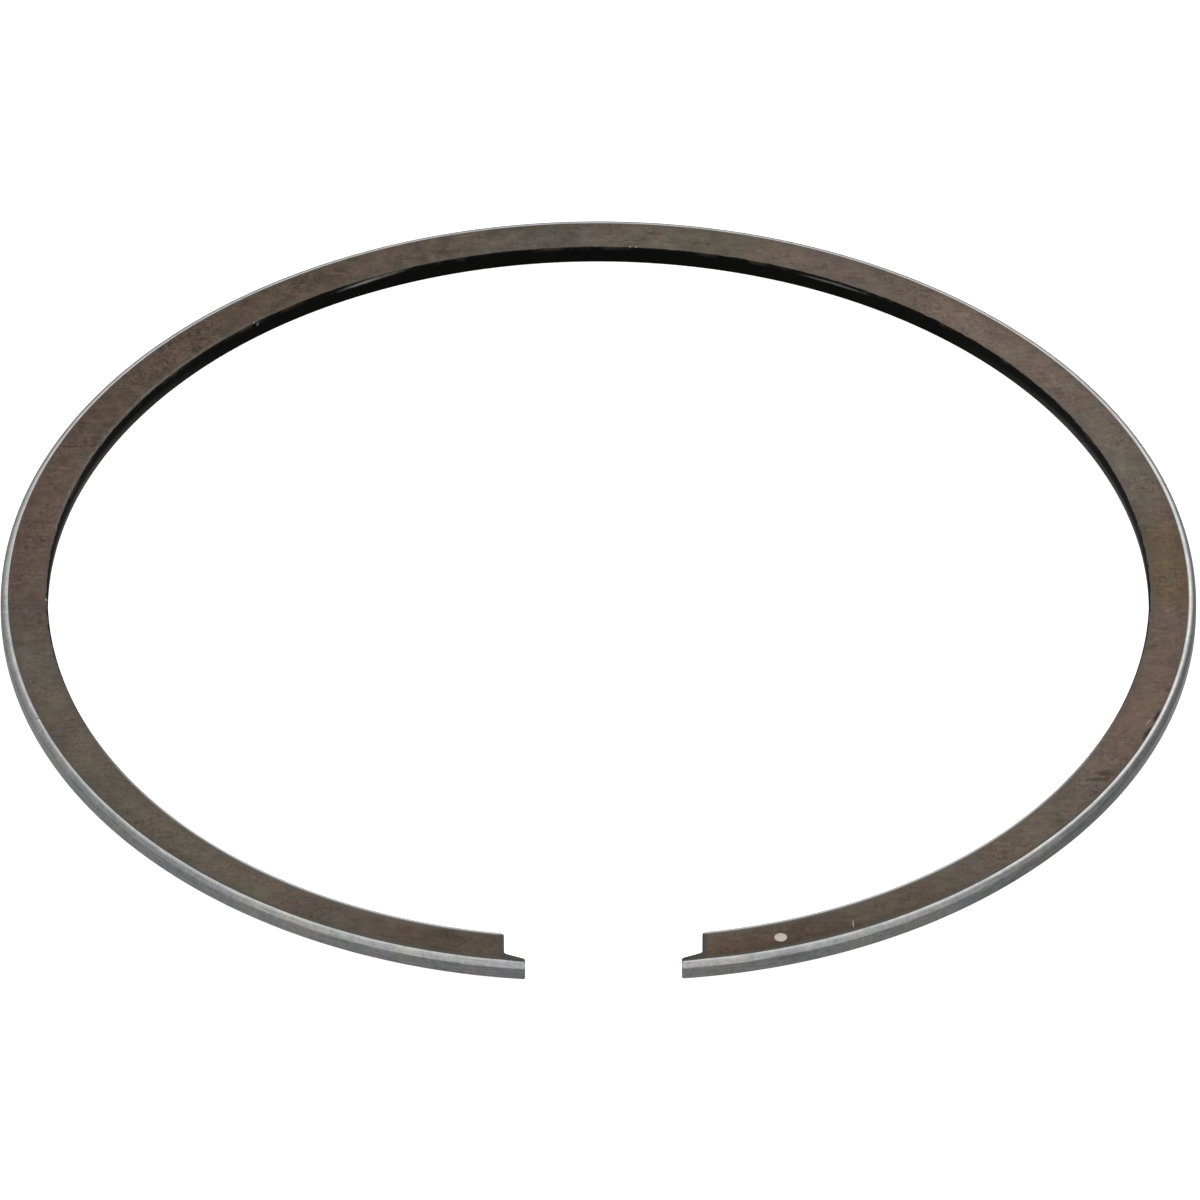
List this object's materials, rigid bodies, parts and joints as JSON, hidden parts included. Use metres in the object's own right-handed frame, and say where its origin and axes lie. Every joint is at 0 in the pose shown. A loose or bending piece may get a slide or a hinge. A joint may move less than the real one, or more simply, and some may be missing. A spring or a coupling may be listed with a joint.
{
  "type": "piston ring",
  "caption": "Flat split piston ring, sprung open, with a rounded upper running edge and a pin notch on the inside of each tip.",
  "frame": {"origin": "centre of the ring's bounding box on its underside, where it rests", "axes": "+Z is square to the ring and out of its marked upper side, -Y points through the end gap, and +X completes the frame, towards the tip with the dot beside it"},
  "size_m": [0.0756, 0.0738, 0.0012],
  "materials": {
    "coated_steel": "brown-grey phosphate on the flat sides, bright ground upper edge and grey running face"
  },
  "bodies": {
    "root": {"piston_ring": "coated_steel"}
  },
  "joints": []
}
